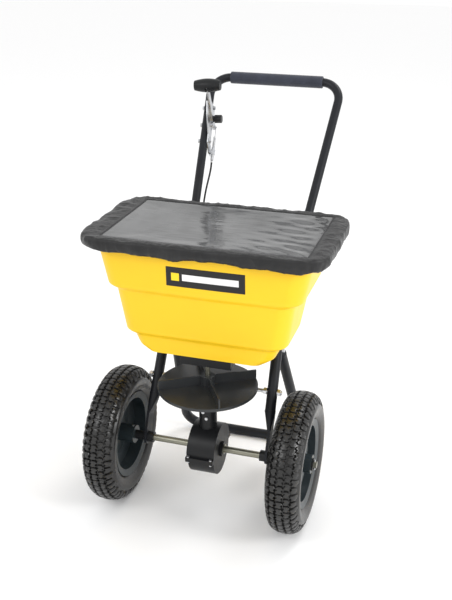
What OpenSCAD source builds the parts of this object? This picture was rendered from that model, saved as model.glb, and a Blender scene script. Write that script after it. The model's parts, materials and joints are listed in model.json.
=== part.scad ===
// Walk-behind broadcast spreader: tapered hopper, spinning disc under it, bevel gearbox on the
// wheel axle, tubular frame with a rear stand, U-shaped push handle and a hand lever that opens
// the shutter through a sheathed cable. Millimetres, +Z up, front towards -Y. The origin lies on
// the ground under the middle of the machine.

/* [Wheels] */
// Outer diameter of the pneumatic tyres
tyre_d = 330; // [300:5:340]
// Width of the tyres
tyre_w = 80; // [70:1:86]
// Distance between the wheel centres
track = 437; // [430:1:450]
// Diameter of the rim's bead seat
rim_d = 192; // [180:2:200]
// Diameter of the axle
axle_d = 16; // [14:1:18]

/* [Hopper] */
// Height of the hopper's rim above the ground
rim_z = 684; // [680:1:690]
// Height of the hopper's floor underside
floor_z = 407; // [404:1:410]
// Thickness of the moulded wall
wall = 4; // [3:0.5:5]

/* [Spinner] */
// Diameter of the spinner disc
disc_d = 232; // [200:2:236]
// Height of the disc's upper face
disc_z = 334; // [330:1:338]
// Height of the vanes
vane_h = 23; // [18:1:26]
// Diameter of the upright shaft
shaft_d = 12; // [10:1:14]

/* [Gears] */
// Teeth on the pinion
pinion_teeth = 14; // [14:1:14]
// Teeth on the crown gear
crown_teeth = 42; // [42:1:42]

/* [Frame] */
// Outer diameter of the frame tubes
frame_d = 25; // [24:1:26]
// Outer diameter of the handle tube
handle_d = 22; // [20:1:22]
// Wall thickness of all tubes
tube_wall = 1.5; // [1.2:0.1:1.5]
// Height of the handle's cross bar
bar_z = 925; // [920:1:930]
// Diameter of the foam grip
grip_d = 31; // [28:1:34]

/* [Hidden] */
$fn = 64;
e = 0.01;
fit = 0.05;
gap = 0.3;
wheel_x = track / 2;
wheel_r = tyre_d / 2;
axle_r = axle_d / 2;
frame_r = frame_d / 2;
handle_r = handle_d / 2;
bar_y = 602;
middle_y = (wheel_r - bar_y - grip_d / 2) / 2;

module_mm = 2.5;
pinion_r = module_mm * pinion_teeth / 2;
crown_r = module_mm * crown_teeth / 2;
face = 12;
cone = sqrt(pinion_r * pinion_r + crown_r * crown_r);
inner = (cone - face) / cone;
backlash = 0.5;

black = "#1e1f21";
dark = "#2c2d30";
yellow = "#f9cf22";
steel = "#9b9a8c";
zinc = "#c4c6c8";

// ---------- helpers ----------

// Everything is drawn with the axle at Y = 0, then moved back so that the machine is centred
module machine() translate([0, middle_y, 0]) children();
module both_sides() { children(); mirror([1, 0, 0]) children(); }
module along_x() rotate([0, 90, 0]) children();

// Cylinder along X from x0 to x1
module bar_x(x0, x1, r) translate([x0, 0, 0]) along_x() cylinder(h = x1 - x0, r = r);
// Ring along X
module ring_x(x0, x1, r, bore) difference() {
    bar_x(x0, x1, r);
    bar_x(x0 - 1, x1 + 1, bore);
}
// Ring standing on Z
module ring_z(z0, z1, r, bore) translate([0, 0, z0]) difference() {
    cylinder(h = z1 - z0, r = r);
    translate([0, 0, -1]) cylinder(h = z1 - z0 + 2, r = bore);
}
// Hexagon bolt along X: head, shank and nut
module bolt_x(x0, x1, r) {
    bar_x(x0, x1, r);
    translate([x0 - 1.3 * r, 0, 0]) along_x() cylinder(h = 1.3 * r, r = 1.9 * r, $fn = 6);
    translate([x1 - 1.6 * r - 1, 0, 0]) along_x() cylinder(h = 1.6 * r, r = 1.9 * r, $fn = 6);
}
// Bolt hanging down along Z from z1 to z0
module bolt_z(z0, z1, r) {
    translate([0, 0, z0]) cylinder(h = z1 - z0, r = r);
    translate([0, 0, z1]) cylinder(h = 1.2 * r, r = 1.9 * r);
    translate([0, 0, z0 + 1]) cylinder(h = 1.5 * r, r = 1.9 * r, $fn = 6);
}

function unit(v) = v / norm(v);
// Length of straight tube that a bend of radius b uses up on each side of corner i
function bend_run(p, i, b) =
    let(d0 = unit(p[i] - p[i - 1]), d1 = unit(p[i + 1] - p[i]))
    b * tan(acos(d0 * d1) / 2);

// The straight lengths run this far into the bends
lap = 1;
// Solid rod along the points p, each corner turned on a radius b
module bent_rod(p, r, b) {
    last = len(p) - 1;
    for (i = [0 : last - 1]) {
        d = unit(p[i + 1] - p[i]);
        a0 = p[i] + d * (i == 0 ? 0 : bend_run(p, i, b) - lap);
        a1 = p[i + 1] - d * (i + 1 == last ? 0 : bend_run(p, i + 1, b) - lap);
        x = unit(cross(d, abs(d[2]) < 0.9 ? [0, 0, 1] : [1, 0, 0]));
        y = cross(d, x);
        multmatrix([[x[0], y[0], d[0], a0[0]], [x[1], y[1], d[1], a0[1]], [x[2], y[2], d[2], a0[2]]])
            cylinder(h = norm(a1 - a0), r = r);
    }
    for (i = [1 : 1 : last - 1]) {
        d0 = unit(p[i] - p[i - 1]);
        d1 = unit(p[i + 1] - p[i]);
        n = unit(cross(d0, d1));
        u = cross(d0, n);
        c = p[i] - d0 * bend_run(p, i, b) - u * b;
        multmatrix([[u[0], d0[0], n[0], c[0]], [u[1], d0[1], n[1], c[1]], [u[2], d0[2], n[2], c[2]]])
            rotate_extrude(angle = acos(d0 * d1)) translate([b, 0]) circle(r = r - 0.03);
    }
}
// Hollow tube, open at both ends
module bent_tube(p, r, b) difference() {
    bent_rod(p, r, b);
    last = len(p) - 1;
    s = p[0] - unit(p[1] - p[0]);
    t = p[last] + unit(p[last] - p[last - 1]);
    bent_rod([for (i = [0 : last]) i == 0 ? s : i == last ? t : p[i]], r - tube_wall, b);
}

// ---------- hopper ----------

// Points of a rounded rectangle: half width w, from y0 to y1, corner radius r, at height z
function ring(w, y0, y1, r, z) = [
    for (q = [0 : 3], k = [0 : 6])
        let(a = 90 * q + 15 * k, sx = (q == 0 || q == 3) ? 1 : -1, sy = q < 2 ? 1 : -1)
        [sx * (w - r) + r * cos(a), (sy > 0 ? y1 - r : y0 + r) + r * sin(a), z]
];
// Closed solid through a list of such rings
module loft(rings) {
    n = len(rings[0]);
    m = len(rings);
    polyhedron(
        points = [for (g = rings, p = g) p],
        faces = concat(
            [[for (i = [0 : n - 1]) i]],
            [for (j = [0 : m - 2], i = [0 : n - 1]) let(k = (i + 1) % n)
                [j * n + i, (j + 1) * n + i, (j + 1) * n + k]],
            [for (j = [0 : m - 2], i = [0 : n - 1]) let(k = (i + 1) % n)
                [j * n + i, (j + 1) * n + k, j * n + k]],
            [[for (i = [n - 1 : -1 : 0]) (m - 1) * n + i]]
        )
    );
}
// Half width, front, back, corner radius and height of the hopper at each level
LEVELS = [
    [118, -18, 104, 34, floor_z],
    [153, -19, 120, 44, floor_z + 13],
    [174, -21, 142, 42, 448],
    [191, -27, 150, 42, 455],
    [207, -35, 190, 40, 561],
    [225, -41, 198, 42, 568],
    [246, -46, 229, 44, rim_z]
];
flange_w = 272;
flange_front = -66;
flange_back = 252;
port_x = 26;
port_y = 50;
port_r = 10.5;
shaft_x = 5;

module shaft_hole(z0, z1, r) translate([shaft_x, 0, z0]) cylinder(h = z1 - z0, r = r);
module ports(z0, z1, shift) for (s = [-1, 1])
    translate([shaft_x + s * port_x, port_y + shift, z0]) cylinder(h = z1 - z0, r = port_r);

module hopper() machine() color(yellow) difference() {
    union() {
        difference() {
            loft([for (v = LEVELS) ring(v[0], v[1], v[2], v[3], v[4])]);
            loft([for (i = [0 : len(LEVELS) - 1]) let(v = LEVELS[i], up = i == len(LEVELS) - 1)
                ring(v[0] - wall, v[1] + wall, v[2] - wall, v[3] - wall, v[4] + (up ? 1 : wall))]);
        }
        difference() {
            loft([ring(flange_w, flange_front, flange_back, 58, rim_z - 16),
                ring(flange_w, flange_front, flange_back, 58, rim_z)]);
            loft([ring(flange_w - wall, flange_front + wall, flange_back - wall, 54, rim_z - 17),
                ring(flange_w - wall, flange_front + wall, flange_back - wall, 54, rim_z - wall)]);
            loft([ring(244, -44, 227, 42, rim_z - 20), ring(244, -44, 227, 42, rim_z + 1)]);
        }
    }
    ports(floor_z - 1, floor_z + 10, 0);
    shaft_hole(floor_z - 1, floor_z + 10, shaft_d / 2 + 1);
    base_holes(floor_z - 1, floor_z + 10);
    bracket_holes(floor_z - 1, floor_z + 10);
}

base_x = 60;
bolt_at = 50.5;
base_front = -16;
base_back = 78;
base_z = 386;
plate_z = floor_z - 6;
module base_holes(z0, z1) for (x = [shaft_x - bolt_at, shaft_x + bolt_at], y = [-6, 70])
    translate([x, y, z0]) cylinder(h = z1 - z0, r = 2.6);
module base_bolts() machine() color(zinc) for (x = [shaft_x - bolt_at, shaft_x + bolt_at], y = [-6, 70])
    translate([x, y, 0]) bolt_z(plate_z - 6, floor_z + wall, 2.5);

// Moulded block under the floor: top plate with the ports, and a skirt on three sides
module outlet_base() machine() color(black) difference() {
    union() {
        difference() {
            translate([shaft_x - base_x, base_front, base_z])
                cube([2 * base_x, base_back - base_front, floor_z - base_z]);
            translate([shaft_x - base_x + 4, base_front + 4, base_z - 1])
                cube([2 * base_x - 8, base_back - base_front, plate_z - base_z + 1]);
        }
        translate([shaft_x, 0, base_z]) cylinder(h = plate_z - base_z + 2, r = shaft_d / 2 + 5);
    }
    ports(plate_z - 1, floor_z + 1, 0);
    shaft_hole(base_z - 1, floor_z + 1, shaft_d / 2 + fit);
    base_holes(plate_z - 1, floor_z + 1);
}

// Sliding plate that closes the ports; it opens backwards, towards the cable
shutter_t = 3;
shutter_z = plate_z - gap - shutter_t;
shutter_w = 40;
module shutter_plate() machine() color(zinc) {
    difference() {
        translate([shaft_x - shutter_w, 37, shutter_z]) cube([2 * shutter_w, 26, shutter_t]);
        translate([shaft_x - 10, 36, shutter_z - 1]) cube([20, 6, shutter_t + 2]);
    }
    translate([shaft_x - 12, 62.9, shutter_z]) cube([24, 19.5, shutter_t]);
    translate([shaft_x - 4, 78, shutter_z - 12]) cube([8, 4.4, 12.2]);
    translate([shaft_x, 82.3, wire_z]) rotate([-90, 0, 0]) cylinder(h = 40, r = 1);
}
wire_z = shutter_z - 7;
anchor_y = 124;
// Two rails that carry the sliding plate
module shutter_guides() machine() color(black) for (s = [-1, 1])
    translate([shaft_x, 0, 0]) mirror([s < 0 ? 1 : 0, 0, 0]) {
        translate([shutter_w + gap, 20, shutter_z - gap - 0.1]) cube([5, 57, plate_z - shutter_z + gap + 0.1]);
        translate([shutter_w - 6, 20, shutter_z - 3 - gap]) cube([11 + gap, 57, 3]);
    }
// Plate under the hopper bracket that holds the end of the cable's sheath
module cable_anchor() machine() color(black) difference() {
    union() {
        translate([shaft_x - 32, anchor_y - 4, wire_z - 10]) cube([64, 4, bracket_z - wire_z + 10]);
        for (x = [-32, 14]) translate([shaft_x + x, 88, bracket_z - 3.5]) cube([18, anchor_y - 88, 3.5]);
        translate([shaft_x, anchor_y - 8, wire_z]) rotate([-90, 0, 0]) cylinder(h = 34, r = 4);
    }
    translate([shaft_x, anchor_y - 20, wire_z]) rotate([-90, 0, 0]) cylinder(h = 52, r = 1.6);
    bracket_holes(bracket_z - 10, bracket_z + 1);
}

module agitator() machine() color(black) {
    translate([shaft_x, 0, 0]) difference() {
        union() {
            translate([0, 0, 415]) cylinder(h = 22, r = 9.5);
            for (a = [0, 180]) rotate([0, 0, a + 40]) {
                translate([0, 0, 419]) along_x() cylinder(h = 12.5, r = 2.5);
                translate([10, 0, 416.5]) cylinder(h = 28, r = 2.5);
            }
        }
        translate([0, 0, 414]) cylinder(h = 24, r = shaft_d / 2);
        translate([-15, 0, 431]) along_x() cylinder(h = 30, r = 2);
    }
}

// ---------- spinner and its shaft ----------

module impeller() machine() color(dark) translate([shaft_x, 0, 0]) difference() {
    union() {
        translate([0, 0, disc_z - 3.5]) cylinder(h = 3.5, r = disc_d / 2, $fn = 96);
        ring_z(disc_z - 7, disc_z - 3, disc_d / 2, disc_d / 2 - 3);
        translate([0, 0, disc_z - 22]) cylinder(h = 22 + vane_h, r = 16);
        for (k = [0 : 3]) rotate([0, 0, 31 + 90 * k])
            translate([10, -1.8, disc_z - 1]) cube([disc_d / 2 - 10.5, 3.6, vane_h + 1]);
    }
    translate([0, 0, disc_z - 30]) cylinder(h = 70, r = shaft_d / 2);
    translate([-20, 0, disc_z - 13]) along_x() cylinder(h = 40, r = 2.5);
}
shaft_foot = wheel_r + crown_r - 17;
module impeller_shaft() machine() color(steel) translate([shaft_x, 0, 0]) difference() {
    translate([0, 0, shaft_foot]) cylinder(h = 441 - shaft_foot, r = shaft_d / 2);
    translate([-15, 0, 431]) along_x() cylinder(h = 30, r = 2);
    translate([-20, 0, disc_z - 13]) along_x() cylinder(h = 40, r = 2.5);
    translate([0, -20, wheel_r + crown_r + 4]) rotate([-90, 0, 0]) cylinder(h = 40, r = 1.5);
}
module shaft_pins() machine() color(zinc) translate([shaft_x, 0, 0]) {
    translate([-12, 0, 431]) along_x() cylinder(h = 24, r = 2);
    translate([-17, 0, disc_z - 13]) along_x() cylinder(h = 34, r = 2.5);
    translate([0, -9.5, wheel_r + crown_r + 4]) rotate([-90, 0, 0]) cylinder(h = 19, r = 1.5);
}

// ---------- bevel gears ----------

function involute(base, r) = let(t = sqrt(max(0, r * r / (base * base) - 1)))
    t - atan(t) * PI / 180;
// Points up one flank of a tooth, mirrored by s, that stands at angle a
function flank(teeth, a, s) = let(
        pr = module_mm * teeth / 2,
        base = pr * cos(20),
        half = 90 / teeth - backlash / pr * 90 / PI,
        zero = involute(base, pr) * 180 / PI,
        root = pr - 1.2 * module_mm,
        tip = pr + 0.9 * module_mm
    ) [for (k = [0 : 5]) let(
        r = k == 0 ? root : max(base, root) + (tip - max(base, root)) * (k - 1) / 4,
        b = half + zero - involute(base, max(r, base)) * 180 / PI
    ) [r * cos(a + s * b), r * sin(a + s * b)]];
module gear_outline(teeth) polygon([for (i = [0 : teeth - 1])
    let(a = 360 * i / teeth, up = flank(teeth, a, -1), down = flank(teeth, a, 1))
    each concat(up, [for (k = [5 : -1 : 0]) down[k]])]);

module pinion_gear() machine() color(steel) translate([shaft_x, 0, wheel_r + crown_r]) {
    difference() {
        union() {
            mirror([0, 0, 1]) linear_extrude(height = face * crown_r / cone, scale = inner)
                gear_outline(pinion_teeth);
            cylinder(h = 8, r = 9.2);
        }
        translate([0, 0, -20]) cylinder(h = 40, r = shaft_d / 2);
        translate([0, -20, 4]) rotate([-90, 0, 0]) cylinder(h = 40, r = 1.5);
    }
}
// One straight tooth of the crown gear: every edge runs to the point where both shafts meet
module crown_tooth() {
    half_foot = 0.5 * PI * module_mm / 2 - backlash / 2 + 1.25 * module_mm * tan(20);
    half_tip = 0.5 * PI * module_mm / 2 - backlash / 2 - 0.9 * module_mm * tan(20);
    foot_x = pinion_r + 1.35 * module_mm;
    tip_x = pinion_r - 0.85 * module_mm;
    p = [[foot_x, -half_foot, crown_r], [foot_x, half_foot, crown_r],
        [tip_x, half_tip, crown_r], [tip_x, -half_tip, crown_r]];
    polyhedron(points = concat(p * inner, p),
        faces = [[0, 1, 2, 3], [7, 6, 5, 4], [0, 4, 5, 1], [1, 5, 6, 2], [2, 6, 7, 3], [3, 7, 4, 0]]);
}
module crown_gear() machine() color(steel) translate([shaft_x, 0, wheel_r]) {
    for (i = [0 : crown_teeth - 1]) rotate([360 * (i + 0.5) / crown_teeth, 0, 0]) crown_tooth();
    difference() {
        along_x() rotate_extrude($fn = 96) polygon([
            [axle_r, 8], [15, 8], [15, foot_of(15)], [crown_r * inner, foot_of(crown_r * inner)],
            [crown_r, foot_of(crown_r)], [crown_r, 26], [axle_r, 26]]);
        translate([12, -30, 0]) rotate([-90, 0, 0]) cylinder(h = 60, r = 2);
    }
}
function foot_of(r) = (pinion_r + 1.25 * module_mm) * r / crown_r;
module crown_pin() machine() color(zinc)
    translate([shaft_x + 12, -14.5, wheel_r]) rotate([-90, 0, 0]) cylinder(h = 29, r = 2);

// ---------- gearbox ----------

box_x0 = -29;
box_x1 = 38;
box_r = 62;
tower_top = 297;
module housing_solid(r, x0, x1) translate([0, 0, wheel_r]) bar_x(x0, x1, r);
module gearbox_upper() machine() color(black) difference() {
    union() {
        intersection() {
            housing_solid(box_r, box_x0, box_x1);
            translate([box_x0, -80, wheel_r]) cube([box_x1 - box_x0, 160, 80]);
        }
        translate([box_x0, -box_r - 8, wheel_r]) cube([box_x1 - box_x0, 2 * box_r + 16, 6]);
        translate([shaft_x, 0, wheel_r + 40]) cylinder(h = tower_top - wheel_r - 40, r = 21);
        intersection() {
            translate([0, 0, wheel_r]) bar_x(box_x0 - 6, box_x1 + 6, 18);
            translate([-80, -30, wheel_r]) cube([160, 60, 40]);
        }
    }
    housing_solid(box_r - 5, box_x0 + 5, box_x1 - 5);
    translate([shaft_x, 0, wheel_r + 20]) cylinder(h = tower_top - wheel_r, r = 10);
    translate([0, 0, wheel_r]) bar_x(-90, 90, 12);
    box_screw_holes();
    tower_screw_holes();
}
module gearbox_lower() machine() color(black) difference() {
    union() {
        intersection() {
            housing_solid(box_r - 2, box_x0 + 3, box_x1 - 1);
            translate([-80, -80, wheel_r - 80]) cube([160, 160, 80]);
        }
        translate([box_x0, -box_r - 8, wheel_r - 5]) cube([box_x1 - box_x0, 2 * box_r + 16, 5]);
        intersection() {
            translate([0, 0, wheel_r]) bar_x(box_x0 - 6, box_x1 + 6, 18);
            translate([-80, -30, wheel_r - 40]) cube([160, 60, 40]);
        }
    }
    housing_solid(box_r - 6.5, box_x0 + 8, box_x1 - 6);
    translate([0, 0, wheel_r]) bar_x(-90, 90, 12);
    box_screw_holes();
}
BOX_SCREWS = [for (x = [box_x0 + 6, box_x1 - 6], y = [-box_r - 4.1, box_r + 4.1]) [x, y]];
module box_screw_holes() for (p = BOX_SCREWS)
    translate([p[0], p[1], wheel_r - 20]) cylinder(h = 40, r = 2.1);
TOWER_SCREWS = [[0, 270], [8, 254]];
module tower_screw_holes() for (p = TOWER_SCREWS)
    translate([p[0], -26, p[1]]) rotate([-90, 0, 0]) cylinder(h = 14, r = 1.6);
module gearbox_screws() machine() color(zinc) {
    for (p = TOWER_SCREWS) translate([p[0], 0, p[1]]) rotate([-90, 0, 0]) {
        translate([0, 0, -23.6]) cylinder(h = 11.6, r = 1.6);
        translate([0, 0, -23.6]) cylinder(h = 2.6, r = 3.6);
    }
    for (p = BOX_SCREWS) translate([p[0], p[1], 0]) bolt_z(wheel_r - 9, wheel_r + 6, 2);
}
module gearbox_bushes() machine() color(steel) translate([0, 0, wheel_r]) {
    ring_x(box_x0 - 8, box_x0 + 8, 12, axle_r + fit);
    ring_x(box_x1 - 6, box_x1 + 8, 12, axle_r + fit);
}
module shaft_bushes() machine() color(steel) translate([shaft_x, 0, 0]) {
    ring_z(238, 252, 10, shaft_d / 2 + fit);
    ring_z(281, tower_top + 2, 10, shaft_d / 2 + fit);
}

// ---------- axle and wheels ----------

module axle() machine() color(steel) translate([0, 0, wheel_r]) difference() {
    bar_x(-268, 268, axle_r);
    translate([shaft_x + 12, -30, 0]) rotate([-90, 0, 0]) cylinder(h = 60, r = 2);
    for (x = [-263, 263]) translate([x, 0, -20]) cylinder(h = 40, r = 2);
    translate([-187, 0, -30]) cylinder(h = 60, r = 3);
}
module drive_pin() machine() color(zinc)
    translate([-187, 0, wheel_r - 24]) cylinder(h = 48, r = 3);
module cotter_pins() machine() color(zinc) for (x = [-263, 263])
    translate([x, 0, wheel_r - 13]) cylinder(h = 26, r = 2);
module axle_washers() machine() color(zinc) translate([0, 0, wheel_r]) for (s = [-1, 1])
    mirror([s < 0 ? 1 : 0, 0, 0]) {
        ring_x(257.6, 260.6, 15, axle_r);
        ring_x(156.6, 179.2, 11, axle_r);
    }
module axle_bearings() machine() color(black) translate([0, 0, wheel_r]) both_sides() {
    ring_x(133, 147, 13, axle_r + fit);
    ring_x(147 - e, 156, 10, axle_r + fit);
}

hub_r = 22;
// Wheel parts are drawn around X with the wheel's middle at x = 0 and its outer face at +x
RIM = [[axle_r + fit, -38], [hub_r, -38], [hub_r, 4], [60, 9], [rim_d / 2 - 8, 4], [rim_d / 2 - 8, -27],
    [rim_d / 2 + 8, -31], [rim_d / 2 + 8, -28], [rim_d / 2, -26], [rim_d / 2, -10], [rim_d / 2 - 3, -6],
    [rim_d / 2 - 3, 6], [rim_d / 2, 10], [rim_d / 2, 26], [rim_d / 2 + 8, 28], [rim_d / 2 + 8, 31],
    [rim_d / 2 - 8, 27], [rim_d / 2 - 8, 9], [60, 14], [hub_r, 9], [hub_r, 38], [axle_r + fit, 38]];
module rim(side) machine() color(dark) translate([side * wheel_x, 0, wheel_r])
    mirror([side < 0 ? 1 : 0, 0, 0]) difference() {
        along_x() rotate_extrude($fn = 96) polygon(RIM);
        if (side < 0) translate([187 - wheel_x, 0, -40]) cylinder(h = 80, r = 3);
        translate([rim_valve_x, 0, rim_d / 2 - 10]) cylinder(h = 20, r = 4);
    }
rim_valve_x = 15;

seat = rim_d / 2 + 0.2;
// Section of the tyre's outside from the inner bead over the tread to the outer bead
function section(t) = concat(
    [[seat, -25.6 + t], [rim_d / 2 + 8.4, -27.6 + t]],
    [for (a = [-60 : 15 : 15]) [130 + 24 * sin(a), -(27.5 + 12.5 * cos(a)) * (tyre_w / 80) + t]],
    [for (a = [30 : 15 : 90]) [wheel_r - 14 + (14 - t) * sin(a), -(26 + (14 - t) * cos(a)) * (tyre_w / 80)]]);
function flip(v) = [for (i = [len(v) - 1 : -1 : 0]) [v[i][0], -v[i][1]]];
module tyre(side) machine() color(black) translate([side * wheel_x, 0, wheel_r])
    along_x() rotate_extrude($fn = 128) difference() {
        polygon(concat(section(0), flip(section(0))));
        translate([0, 0]) polygon(concat(section(5.5), flip(section(5.5))));
    }
module tyre_left() tyre(-1);
module tyre_right() tyre(1);
module rim_left() rim(-1);
module rim_right() rim(1);
// Inner tube, inside the tyre
module tube_ring(side) machine() color(dark) translate([side * wheel_x, 0, wheel_r])
    along_x() rotate_extrude($fn = 96) difference() {
        translate([128, 0]) circle(r = 25);
        translate([128, 0]) circle(r = 23);
    }
module inner_tube_left() tube_ring(-1);
module inner_tube_right() tube_ring(1);
module valve(side) machine() color(steel) translate([side * (wheel_x + rim_valve_x), 0, wheel_r])
    translate([0, 0, rim_d / 2 - 18]) cylinder(h = 28, r = 3.9);
module valve_left() valve(-1);
module valve_right() valve(1);

// ---------- frame ----------

// Left leg of the handle as a line: offset from the middle, depth and height
leg_slope = [0.098, 0.826, 1];
leg_ref = [152.8, 405.9, 687.5];
function leg_point(z) = leg_ref + leg_slope * (z - leg_ref[2]);
socket_z = 570;
handle_foot_z = 486;
// From the socket's mouth down behind the hopper, under its back edge and on to the axle
LEG = [leg_point(socket_z), leg_point(478), [140, 112, 392], [144, 42, 262]];
leg_plate_x = 150;
LEG_BOLTS = [500, 545];

module leg_bolt_hole(z, r) {
    p = leg_point(z);
    translate([0, p[1], p[2]]) bar_x(p[0] - 30, p[0] + 30, r);
}
module frame_leg() difference() {
    union() {
        bent_tube(LEG, frame_r, 45);
        hull() {
            translate(LEG[3]) rotate([-28, 0, 0]) translate([0, 0, -1]) cylinder(h = 4, r = frame_r + 0.6, $fn = 32);
            translate([leg_plate_x - 2.8, 22, 217]) rotate([-26, 0, 0]) translate([0, -16.6, 0]) cube([5.6, 33.2, 1]);
        }
        hull() {
            translate([leg_plate_x - 3, 24, 222]) rotate([-26, 0, 0]) translate([0, -17, 0]) cube([6, 34, 1]);
            translate([0, 0, wheel_r]) bar_x(leg_plate_x - 3, leg_plate_x + 3, 18);
        }
    }
    translate([0, 0, wheel_r]) bar_x(leg_plate_x - 10, leg_plate_x + 10, 10);
    for (z = LEG_BOLTS) leg_bolt_hole(z, 3.1);
    translate([0, 112, 392]) bar_x(110, 170, 4.1);
    translate([0, 146, 416]) bar_x(110, 170, 4.1);
    translate([0, tie_y, tie_z]) bar_x(110, 170, 5.1);
}
tie_y = 63.5;
tie_z = 302;
module frame_leg_left() machine() color(black) mirror([1, 0, 0]) frame_leg();
module frame_leg_right() machine() color(black) frame_leg();

module tie_rod() machine() color(zinc) translate([0, tie_y, tie_z]) bar_x(-166, 166, 5);
module tie_nuts() machine() color(zinc) translate([0, tie_y, tie_z]) both_sides() difference() {
    union() {
        translate([155.8, 0, 0]) along_x() cylinder(h = 7, r = 9, $fn = 6);
        translate([122.6, 0, 0]) along_x() cylinder(h = 7, r = 9, $fn = 6);
    }
    bar_x(110, 170, 5 + e);
}

// Bracket between the legs that carries the hopper's back edge
bracket_z = floor_z - 4;
BRACKET_BOLTS = [-90, shaft_x - 23, shaft_x + 23, 90];
module bracket_holes(z0, z1) for (x = BRACKET_BOLTS)
    translate([x, 93, z0]) cylinder(h = z1 - z0, r = 3.1);
module hopper_bracket() machine() color(black) difference() {
    union() {
        translate([-126.4, 80, bracket_z]) cube([252.8, 26, 4]);
        both_sides() hull() {
            translate([0, 112, 392]) bar_x(122.4, 126.4, 14);
            translate([122.4, 82, bracket_z]) cube([4, 24, 4]);
        }
    }
    translate([0, 112, 392]) bar_x(-140, 140, 4.1);
    bracket_holes(bracket_z - 1, bracket_z + 5);
}
module bracket_bolts() machine() color(zinc) {
    both_sides() translate([0, 112, 392]) bolt_x(-153, -114.9, 4);
    for (x = BRACKET_BOLTS) let(under = abs(x) < 80 ? 3.5 : 0)
        translate([x, 93, 0]) bolt_z(bracket_z - under - 5.5, floor_z + wall, 3);
}

// Stand: one tube bent to a U, standing on the ground behind the wheels
STAND = [[136, 170.3, 350], [168, 330, frame_r], [-168, 330, frame_r], [-136, 170.3, 350]];
module stand() machine() color(black) difference() {
    union() {
        bent_tube(STAND, frame_r, 50);
        both_sides() {
            hull() {
                translate(STAND[0]) rotate([25, 0, 0]) translate([0, 0, -3]) cylinder(h = 4, r = frame_r + 0.6, $fn = 32);
                translate([119.6, 144.6, 387]) rotate([25, 0, 0]) cube([4.2, 31.4, 1]);
            }
            hull() {
                translate([119.4, 145, 384]) rotate([25, 0, 0]) cube([4.6, 32, 1]);
                translate([0, 146, 416]) bar_x(119.4, 124, 15);
            }
        }
    }
    translate([0, 146, 416]) bar_x(-140, 140, 4.1);
}
module stand_bolts() machine() color(zinc) both_sides() translate([0, 146, 416]) bolt_x(-152.6, -111.9, 4);

// ---------- handle ----------

BAR_CORNER = leg_point(bar_z);
HANDLE = [leg_point(handle_foot_z), BAR_CORNER,
    [-BAR_CORNER[0], BAR_CORNER[1], BAR_CORNER[2]],
    [-leg_point(handle_foot_z)[0], leg_point(handle_foot_z)[1], handle_foot_z]];
module handle() machine() color(black) difference() {
    bent_tube(HANDLE, handle_r - fit, 50);
    both_sides() for (z = LEG_BOLTS) leg_bolt_hole(z, 3.1);
    on_leg() for (z = PLATE_BOLTS) translate([0, 0, z]) bar_x(-30, 30, 3.1);
}
module handle_bolts() machine() color(zinc) both_sides() for (z = LEG_BOLTS) {
    p = leg_point(z);
    translate([0, p[1], p[2]]) bolt_x(-p[0] - 13.3, -p[0] + 19.1, 3);
}
module foam_grip() machine() color("#3a3d45") translate([0, BAR_CORNER[1], BAR_CORNER[2]])
    ring_x(-124, 124, grip_d / 2, handle_r + fit);

// ---------- hand control on the left leg ----------

// Frame that follows the left leg: z up along the tube, x towards the middle, y to the back
control_z = 823;
leg_dir = unit([-leg_slope[0], leg_slope[1], leg_slope[2]]);
leg_in = unit([1, 0, 0] - leg_dir * leg_dir[0]);
leg_back = cross(leg_dir, leg_in);
leg_at = leg_point(control_z);
module on_leg() multmatrix([
    [leg_in[0], leg_back[0], leg_dir[0], -leg_at[0]],
    [leg_in[1], leg_back[1], leg_dir[1], leg_at[1]],
    [leg_in[2], leg_back[2], leg_dir[2], leg_at[2]]]) children();
PLATE_BOLTS = [-58, -12, 38];
plate_x = handle_r + 0.2;
plate_t = 2.5;
pivot = [0, 6];
lever_x = plate_x + plate_t + gap;
lever_t = 4;
lever_reach = 99;
lever_tilt = 59;
wire_out = 24.2;

module gauge_plate() machine() color(zinc) on_leg() difference() {
    union() {
        translate([plate_x, 0, 0]) along_x() linear_extrude(height = plate_t) polygon(PLATE_EDGE);
        translate([0, pivot[0], pivot[1]]) bar_x(plate_x, 34, 4);
    }
    for (z = PLATE_BOLTS) translate([0, 0, z]) bar_x(0, 30, 3.1);
}
// Corners of the plate seen along the pivot, as [-z, y]
PLATE_EDGE = [[66, -10], [44, -13], [4, -46], [-27, -60], [-45, -58], [-47, -50], [-44, 0],
    [-44, 14], [-20, 16], [40, 14], [58, 16], [68, 30], [88, 30], [88, 12]];
module plate_bolts() machine() color(zinc) on_leg() for (z = PLATE_BOLTS)
    translate([0, 0, z]) bolt_x(-handle_r - 0.1, plate_x + plate_t + 5.8, 3);

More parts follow.
